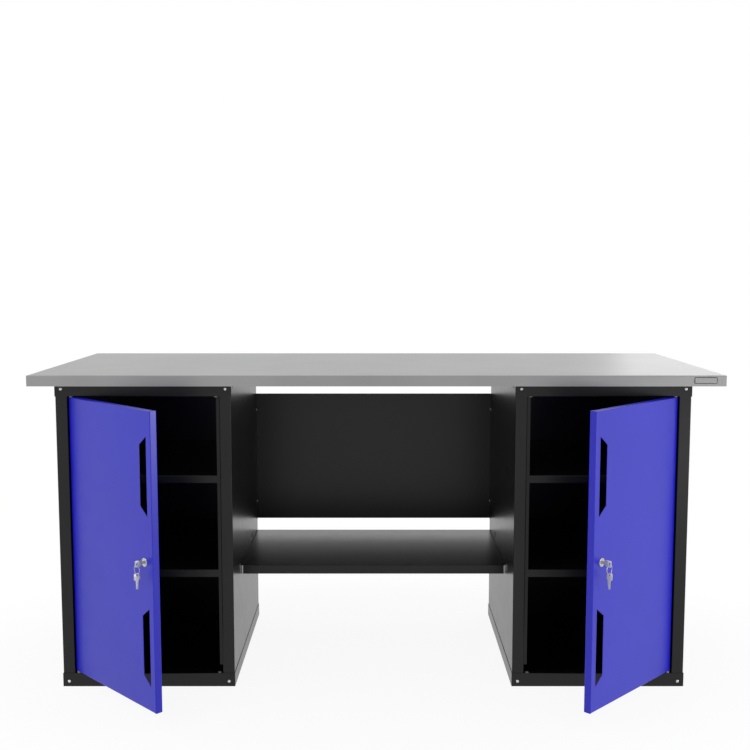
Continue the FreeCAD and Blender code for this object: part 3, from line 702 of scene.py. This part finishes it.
def lock_place(side):
    """The placement of a lock: origin in the door's face, Z outwards, Y up."""
    joint = joints[side + "_lock_turn"]
    outward = Vector(joint["axis"])
    outward = -outward if outward.y > 0 else outward
    turn = Matrix((UP.cross(outward), UP, outward)).transposed().to_4x4()
    return Matrix.Translation(joint["pos_m"]) @ turn


for side in SIDES:
    print(side, "lock at", [round(c, 3) for c in lock_place(side).translation])

# %% A lock's bezel
PLUG_BORE = 0.006
BEZEL_RADIUS = 0.011
BEZEL_HEIGHT = 0.0022
BEZEL_ROUND = 0.0009
BEZEL_STEPS = 4
# The sunk step's two slopes, as radii from the outside in.
STEP_OUTER = (0.0088, 0.0084)
STEP_INNER = (0.0071, 0.0068)
STEP_DEPTH = 0.0004


def bezel_rings():
    """A bezel from its rolled edge in to the plug, with a sunk step round its face."""
    rings = []
    for step in range(BEZEL_STEPS + 1):
        angle = math.pi / 2 * step / BEZEL_STEPS
        radius = BEZEL_RADIUS - BEZEL_ROUND * (1 - math.cos(angle))
        rings.append(ring(radius, BEZEL_HEIGHT - BEZEL_ROUND * (1 - math.sin(angle))))
    sunk = BEZEL_HEIGHT - STEP_DEPTH
    profile = zip((*STEP_OUTER, *STEP_INNER), (BEZEL_HEIGHT, sunk, sunk, BEZEL_HEIGHT))
    rings += [ring(radius, height) for radius, height in profile]
    rings.append(ring(PLUG_BORE, BEZEL_HEIGHT))
    return rings


print("bezel", round(BEZEL_RADIUS * 2000), "mm wide, of", len(bezel_rings()), "rings")

# %% A lock's body
BARREL_RADIUS = 0.009
BARREL_FLAT = 0.008
BARREL_PITCH = 0.001
# The thread's core, as a share of the barrel's radius.
BARREL_CORE = 0.95
# Heights behind the door's face, and how far the thread stays from the barrel's end.
FLAT_START = -0.0005
NECK_START = -0.0014
THREAD_STOP = -0.0016
THREAD_MARGIN = 0.0006


def lock_shape(back):
    """A bezel in front of Z = 0 and a threaded barrel that ends at the height back."""
    core = BARREL_RADIUS * BARREL_CORE
    rings = [ring(PLUG_BORE, back), ring(core, back)]
    rings += threads(core, BARREL_RADIUS, BARREL_PITCH, back + THREAD_MARGIN, THREAD_STOP)
    rings += [ring(BARREL_RADIUS, NECK_START), ring(BARREL_RADIUS, 0), ring(BEZEL_RADIUS, 0)]
    shape = lathe(rings + bezel_rings(), hollow=True)
    for vertex in shape.verts:
        if vertex.co.z < FLAT_START:
            vertex.co.x = max(-BARREL_FLAT, min(BARREL_FLAT, vertex.co.x))
    return shape


print("barrel", round(BARREL_FLAT * 2000), "mm across its flats")

# %% Make the lock bodies and their nuts
for side in SIDES:
    place = lock_place(side)
    node = side + "_lock_housing"
    low, high = extents([place.inverted() @ point for point in solids_of(node)[0]])
    body = bmesh.new()
    add_to(body, lock_shape(low.z), place)
    make_piece(node + "_detailed", body, side + "_door", slot_of[node], node)
    make_nuts(side + "_lock_nut", side + "_door", 2 * BARREL_RADIUS, place)
print("lock barrels end", round(-low.z * 1000, 1), "mm behind the door's face")

# %% [markdown]
# ## Flat pieces from outlines
# Keys and the plate are punched from sheet, and a split ring is bent from flat wire. All of
# them start as an outline. Most of these outlines are rectangles with round corners, so one
# function draws those, and another raises an outline to the sheet's thickness and breaks its
# edges with a narrow bevel, because a perfectly sharp edge never catches the light. A curve
# object with an extrusion could do this as well, but a mesh is ready to be carved.

# %% Outlines and slabs
CORNER_STEPS = 6


def rounded(x0, x1, y0, y1, radius, steps=CORNER_STEPS):
    """The outline of a rectangle with round corners, anticlockwise from its right side."""
    centres = (
        (x1 - radius, y1 - radius), (x0 + radius, y1 - radius),
        (x0 + radius, y0 + radius), (x1 - radius, y0 + radius),
    )
    points = []
    for quarter, (x, y) in enumerate(centres):
        for step in range(steps + 1):
            angle = math.pi / 2 * (quarter + step / steps)
            points.append((x + radius * math.cos(angle), y + radius * math.sin(angle)))
    return points


def slab(outline, low, high, broken=0.0):
    """An outline raised from one height to another, with its edges broken by that width."""
    shape = bmesh.new()
    rows = [[shape.verts.new((x, y, z)) for x, y in outline] for z in (low, high)]
    caps = [shape.faces.new(reversed(rows[0])), shape.faces.new(rows[1])]
    for index in range(len(outline)):
        after = (index + 1) % len(outline)
        shape.faces.new((rows[0][index], rows[0][after], rows[1][after], rows[1][index]))
    if broken:
        edges = [edge for cap in caps for edge in cap.edges]
        bmesh.ops.bevel(shape, geom=edges, offset=broken, segments=2, profile=0.5, affect="EDGES")
    bmesh.ops.recalc_face_normals(shape, faces=shape.faces)
    return shape


print("a round corner has", CORNER_STEPS, "steps")

# %% [markdown]
# ## Keys
# A key is a flat blank with a square bow. The cuts along its blade could be carved, but the less
# a Boolean has to cut, the safer it is, so they are part of the outline. That is drawn round the
# hole for the ring, with X towards the tip. The rest is carved, as a press would do it: the
# hole, a sunk panel on each side of the bow and a groove along each side of the blade. One key
# is in the lock and turns with its plug. The spare hangs from the ring with its blade down.

# %% The outline of a key
BOW_START = -0.0048
BOW_END = 0.0127
BOW_HALF = 0.00825
BOW_ROUND = 0.0018
BLADE_HALF = 0.0035
KEY_TIP = 0.0367
CUT_FLOOR = 0.0004
# The place of each cut along the blade, and its depth.
CUTS = ((0.0205, 0.0006), (0.0236, 0.0011), (0.0267, 0.0008), (0.0297, 0.0012))


def key_outline():
    """A key's outline from its tip back along the cuts, round the bow and forward again."""
    edge = [(KEY_TIP - BLADE_HALF, BLADE_HALF)]
    for place, depth in reversed(CUTS):
        foot = CUT_FLOOR + depth
        slopes = ((foot, 0), (CUT_FLOOR, depth), (-CUT_FLOOR, depth), (-foot, 0))
        edge += [(place + shift, BLADE_HALF - fall) for shift, fall in slopes]
    edge.append((BOW_END, BLADE_HALF))
    bow = rounded(BOW_START, BOW_END, -BOW_HALF, BOW_HALF, BOW_ROUND)
    return [(KEY_TIP, 0)] + edge + bow + [(x, -y) for x, y in reversed(edge)]


print("key outline of", len(key_outline()), "points")

# %% A key
KEY_HALF = 0.001
KEY_BREAK = 0.00015
KEY_HOLE = 0.003
PANEL = (0.0044, 0.0111, -0.0062, 0.0062)
PANEL_ROUND = 0.0015
GROOVE_START = 0.0145
GROOVE_END = 0.05
GROOVE_SIDES = (0.0004, 0.0017)
GROOVE_ROUND = 0.0003
# Heights from the middle of the sheet, as shares of half its thickness.
PANEL_FLOOR = 0.72
GROOVE_FLOOR = 0.5
CUTTER_END = 1.5


def key_shape():
    """A key round its hole, X towards the tip and Z through the sheet."""
    blank = slab(key_outline(), -KEY_HALF, KEY_HALF, KEY_BREAK)
    past = KEY_HALF * CUTTER_END
    panel_floor = KEY_HALF * PANEL_FLOOR
    panel = rounded(*PANEL, PANEL_ROUND)
    bow_cuts = lathe([ring(KEY_HOLE, -past), ring(KEY_HOLE, past)])
    add_to(bow_cuts, slab(panel, panel_floor, past), Matrix())
    add_to(bow_cuts, slab(panel, -past, -panel_floor), Matrix())
    groove_floor = KEY_HALF * GROOVE_FLOOR
    near, far = GROOVE_SIDES
    upper = rounded(GROOVE_START, GROOVE_END, near, far, GROOVE_ROUND, steps=2)
    lower = rounded(GROOVE_START, GROOVE_END, -far, -near, GROOVE_ROUND, steps=2)
    grooves = slab(upper, groove_floor, past)
    add_to(grooves, slab(lower, -past, -groove_floor), Matrix())
    return carved(blank, bow_cuts, grooves)


print("keys are", round(KEY_HALF * 2000, 1), "mm thick")

# %% Make the keys
# The ring's wire lies at the lower edge of the key's hole and at the upper edge of the spare's.
for side in SIDES:
    lock = lock_place(side)
    outward = lock.col[2].to_3d()
    ring_top = Vector(joints[side + "_ring_swing"]["pos_m"])
    ring_bottom = Vector(joints[side + "_spare_key_swing"]["pos_m"])
    hole = ring_top.copy()
    hole.z = lock.translation.z
    drop = hole.z - ring_top.z
    stances = (
        ("key", "lock", hole, -outward, UP),
        ("spare_key", "spare", ring_bottom - drop * UP, -UP, outward),
    )
    for name, body, middle, along, across in stances:
        turn = Matrix((along, across, along.cross(across))).transposed().to_4x4()
        shape = bmesh.new()
        add_to(shape, key_shape(), Matrix.Translation(middle) @ turn)
        node = side + "_" + name
        piece = make_piece(node + "_detailed", shape, side + "_" + body, slot_of[node], node)
print("four keys,", len(piece.data.polygons), "faces each")

# %% [markdown]
# ## Split rings
# A split ring is two turns of flat wire that lie on each other. Halfway along, the wire steps
# from the lower layer to the upper one, in the gap between its own two ends. So the sweep below
# goes round almost twice and only changes its height near the middle of the way. A bevelled
# curve could do this too, but a sweep of rows keeps the flat wire from twisting.

# %% A split ring
RING_STEPS = 150
WIRE_HALF_WIDTH = 0.000702
WIRE_HALF_HEIGHT = 0.00036
WIRE_ROUND = 0.00025
# The gap is a share of a turn, and the layers' distance is in half heights of the wire.
END_GAP = 0.07
LAYER_PITCH = 2.05


def ring_shape(radius):
    """Two turns of flat wire round Z."""
    shape = bmesh.new()
    width, height = WIRE_HALF_WIDTH, WIRE_HALF_HEIGHT
    section = rounded(-width, width, -height, height, WIRE_ROUND, steps=2)
    rows = []
    for step in range(RING_STEPS + 1):
        turns = END_GAP + (2 - 2 * END_GAP) * step / RING_STEPS
        share = max(0.0, min(1.0, (turns - 1 + END_GAP) / (2 * END_GAP)))
        climb = 3 * share ** 2 - 2 * share ** 3
        layer = (climb - 0.5) * LAYER_PITCH * height
        angle = math.tau * turns
        row = []
        for out, lift in section:
            reach = radius + out
            row.append(shape.verts.new((reach * math.cos(angle), reach * math.sin(angle), layer + lift)))
        rows.append(row)
    for lower, upper in zip(rows, rows[1:]):
        for index in range(len(section)):
            after = (index + 1) % len(section)
            shape.faces.new((lower[index], lower[after], upper[after], upper[index]))
    shape.faces.new(rows[0])
    shape.faces.new(rows[-1])
    return shape


print("ring wire", round(WIRE_HALF_WIDTH * 2000, 2), "by", round(WIRE_HALF_HEIGHT * 2000, 2), "mm")

# %% Make the split rings
for side in SIDES:
    top = Vector(joints[side + "_ring_swing"]["pos_m"])
    bottom = Vector(joints[side + "_spare_key_swing"]["pos_m"])
    place = lock_place(side)
    place.translation = (top + bottom) / 2
    shape = bmesh.new()
    add_to(shape, ring_shape((top - bottom).length / 2), place)
    node = side + "_key_ring"
    make_piece(node + "_detailed", shape, side + "_ring", slot_of[node], node)
print("split rings of", round((top - bottom).length * 1000, 1), "mm")

# %% [markdown]
# ## A plain plate
# A small plain plate sits near the right end of the worktop's front edge. A narrow groove runs
# round its field. Light that goes into a groove is reflected more than once before it leaves,
# and metal takes a share each time, so the groove shows as a dark line without any dark paint.
# The plate rides on the frame, like the worktop behind it.

# %% Make the plate
PLATE_FROM_END = 0.0533
PLATE_BELOW_TOP = 0.0127
PLATE_HALF_WIDTH = 0.0298
PLATE_HALF_HEIGHT = 0.0087
PLATE_ROUND = 0.0035
PLATE_RISE = 0.0016
PLATE_SUNK = 0.0001
PLATE_BREAK = 0.0003
PLATE_LIP = 0.0005
GROOVE_WIDTH = 0.0013


def plate_outline(inset):
    """The plate's round-cornered outline, moved inwards by an inset."""
    width = PLATE_HALF_WIDTH - inset
    height = PLATE_HALF_HEIGHT - inset
    return rounded(-width, width, -height, height, PLATE_ROUND - inset)


past = PLATE_RISE * 2
groove = slab(plate_outline(PLATE_LIP), 0, past)
groove = carved(groove, slab(plate_outline(PLATE_LIP + GROOVE_WIDTH), -past, 2 * past))
plate = carved(slab(plate_outline(0), -PLATE_SUNK, PLATE_RISE, PLATE_BREAK), groove)
low, high = extents([vertex.co for vertex in nodes["worktop_skin"].data.vertices])
middle = Vector((high.x - PLATE_FROM_END, low.y, high.z - PLATE_BELOW_TOP))
facing_front = Matrix(((1, 0, 0), (0, 0, -1), (0, 1, 0))).to_4x4()
shape = bmesh.new()
add_to(shape, plate, Matrix.Translation(middle) @ facing_front)
make_piece("edge_plate", shape, "frame", "worktop_steel")
print("plate at", [round(c, 3) for c in middle])

# %% [markdown]
# ## Floor
# The picture is a product shot on white. The floor is a large pale sheet. A matt white floor
# under soft light would come out grey, so the eye is shown a plain white glow instead, mixed
# with a small share of the real, lit floor round the bench. That share keeps the soft shadow,
# because a bench without any shadow would seem to float.

# %% Which rays show a surface to the eye
def seen_ray(tree):
    """One for a ray that shows the surface, straight or by a reflection, else nought."""
    path = add_node(tree, "LightPath")
    total = path.outputs["Is Camera Ray"]
    for kind in ("Is Glossy Ray", "Is Transmission Ray"):
        both = add_node(tree, "Math", operation="ADD", use_clamp=True)
        tree.links.new(total, both.inputs[0])
        tree.links.new(path.outputs[kind], both.inputs[1])
        total = both.outputs["Value"]
    return total


print("rays of three kinds show the floor and the background")

# %% Floor finish
FLOOR_SHADES = (0.86, 0.86, 0.86), (0.9, 0.9, 0.9)
FLOOR_GRAIN = 1.5
SHADOW_KEPT = 0.09
SHADOW_STRETCH = (0.75, 1.3, 1)
SHADOW_START = 0.7
SHADOW_END = 1.3

pale = bpy.data.materials.new("pale_floor")
pale.use_nodes = True
tree = pale.node_tree
link = tree.links.new
tree.nodes.remove(tree.nodes["Principled BSDF"])
matt = add_node(tree, "BsdfDiffuse")
link(shades(tree, grain(tree, FLOOR_GRAIN), *FLOOR_SHADES), matt.inputs["Color"])
white = add_node(tree, "Emission", {"Strength": 1.0})
away = add_node(tree, "VectorMath", operation="LENGTH")
link(own_space(tree, SHADOW_STRETCH), away.inputs[0])
whiteness = add_node(tree, "MapRange", {
    "From Min": SHADOW_START, "From Max": SHADOW_END, "To Min": 1 - SHADOW_KEPT, "To Max": 1.0,
}, interpolation_type="SMOOTHSTEP")
link(away.outputs["Value"], whiteness.inputs["Value"])
share = add_node(tree, "Math", operation="MULTIPLY")
link(seen_ray(tree), share.inputs[0])
link(whiteness.outputs["Result"], share.inputs[1])
blend = add_node(tree, "MixShader")
link(share.outputs["Value"], blend.inputs["Fac"])
link(matt.outputs["BSDF"], blend.inputs[1])
link(white.outputs["Emission"], blend.inputs[2])
link(blend.outputs["Shader"], tree.nodes["Material Output"].inputs["Surface"])
print("the floor keeps", SHADOW_KEPT, "of its shadow")

# %% Lay the floor
FLOOR_SIZE = 60.0
half = FLOOR_SIZE / 2
floor_corners = [(-half, -half, 0), (half, -half, 0), (half, half, 0), (-half, half, 0)]
floor_mesh = bpy.data.meshes.new("floor")
floor_mesh.from_pydata(floor_corners, [], [(0, 1, 2, 3)])
floor_mesh.materials.append(pale)
floor = bpy.data.objects.new("floor", floor_mesh)
bpy.context.scene.collection.objects.link(floor)
print("floor", FLOOR_SIZE, "m square")

# %% [markdown]
# ## World
# Even light from all sides does most of the work in a product shot, so the world is one white
# colour. Its strength depends on the ray: a ray that only lights the bench finds the room light,
# at a plain level, and one that shows the background finds pure white. That way the backdrop is
# white without more light on the bench. An image of a studio could light it too, but its bright
# spots would be fixed, while lamps can be placed one by one.

# %% Room light and background
ROOM_LIGHT = 0.85
studio = bpy.data.worlds.new("studio")
bpy.context.scene.world = studio
studio.use_nodes = True
tree = studio.node_tree
background = tree.nodes["Background"]
background.inputs["Color"].default_value = (1, 1, 1, 1)
level = add_node(tree, "MapRange", {"To Min": ROOM_LIGHT, "To Max": 1.0})
tree.links.new(seen_ray(tree), level.inputs["Value"])
tree.links.new(level.outputs["Result"], background.inputs["Strength"])
print("world: white background, room light", ROOM_LIGHT)

# %% [markdown]
# ## Soft boxes
# Even light alone leaves folded sheet flat. Five area lamps add what soft boxes add in a studio:
# two in front bring out the posts and the left door, one at the right lights the right door,
# one behind leaves a glow on the worktop's right end, and a low strip behind the knee space
# gives the shelf and the walls their sheen. A sun or a point lamp would draw hard edges, while
# an area lamp is as soft as it is large. Each points at the middle of the bench. The camera
# doesn't see the lamps themselves, only their light and their reflections.

# %% Place the lamps
AIM = Vector((0, 0, 0.5))


def soft_box(name, place, width, height, watts):
    """An area lamp of that size, turned towards the middle of the bench."""
    lamp = bpy.data.lights.new(name, "AREA")
    lamp.shape = "RECTANGLE"
    lamp.size = width
    lamp.size_y = height
    lamp.energy = watts
    box = bpy.data.objects.new(name, lamp)
    box.location = place
    box.rotation_euler = (Vector(place) - AIM).to_track_quat("Z", "Y").to_euler()
    box.visible_camera = False
    bpy.context.scene.collection.objects.link(box)
    print(name, "at", place, watts, "W")


soft_box("front_right", (1.65, -2.4, 0.22), width=0.9, height=0.4, watts=2.1)
soft_box("front_left", (-3.2, -2.4, 2.2), width=2.2, height=2.2, watts=40)
soft_box("right_side", (3.4, -1.45, 0.6), width=1.1, height=1.1, watts=35)
soft_box("back_right", (2.0, 2.9, 1.7), width=1.5, height=1.5, watts=6)
soft_box("back_low", (0.0, 1.2, 0.37), width=1.8, height=0.16, watts=0.95)

# %% [markdown]
# ## Camera
# The camera stands in front of the middle of the bench, higher than the worktop, and looks down
# a little, so that the worktop's top just shows. It could be placed by eye, but its place, pitch
# and lens were worked out from where the bench's corners lie in the photograph, which is closer.
# The lens is written for a sensor 36 mm wide, and Standard as the view transform shows colours
# as they are written.

# %% Place the camera
SENSOR = 36.0
LENS = 50.607
PITCH = math.radians(5.888)
CAMERA_PLACE = (-0.003575, -2.921923, 1.119186)
camera_data = bpy.data.cameras.new("camera")
camera_data.sensor_width = SENSOR
camera_data.lens = LENS
camera = bpy.data.objects.new("camera", camera_data)
camera.location = CAMERA_PLACE
camera.rotation_euler = (math.pi / 2 - PITCH, 0, 0)
bpy.context.scene.collection.objects.link(camera)
bpy.context.scene.camera = camera
bpy.context.scene.view_settings.view_transform = "Standard"
print("camera at", CAMERA_PLACE)
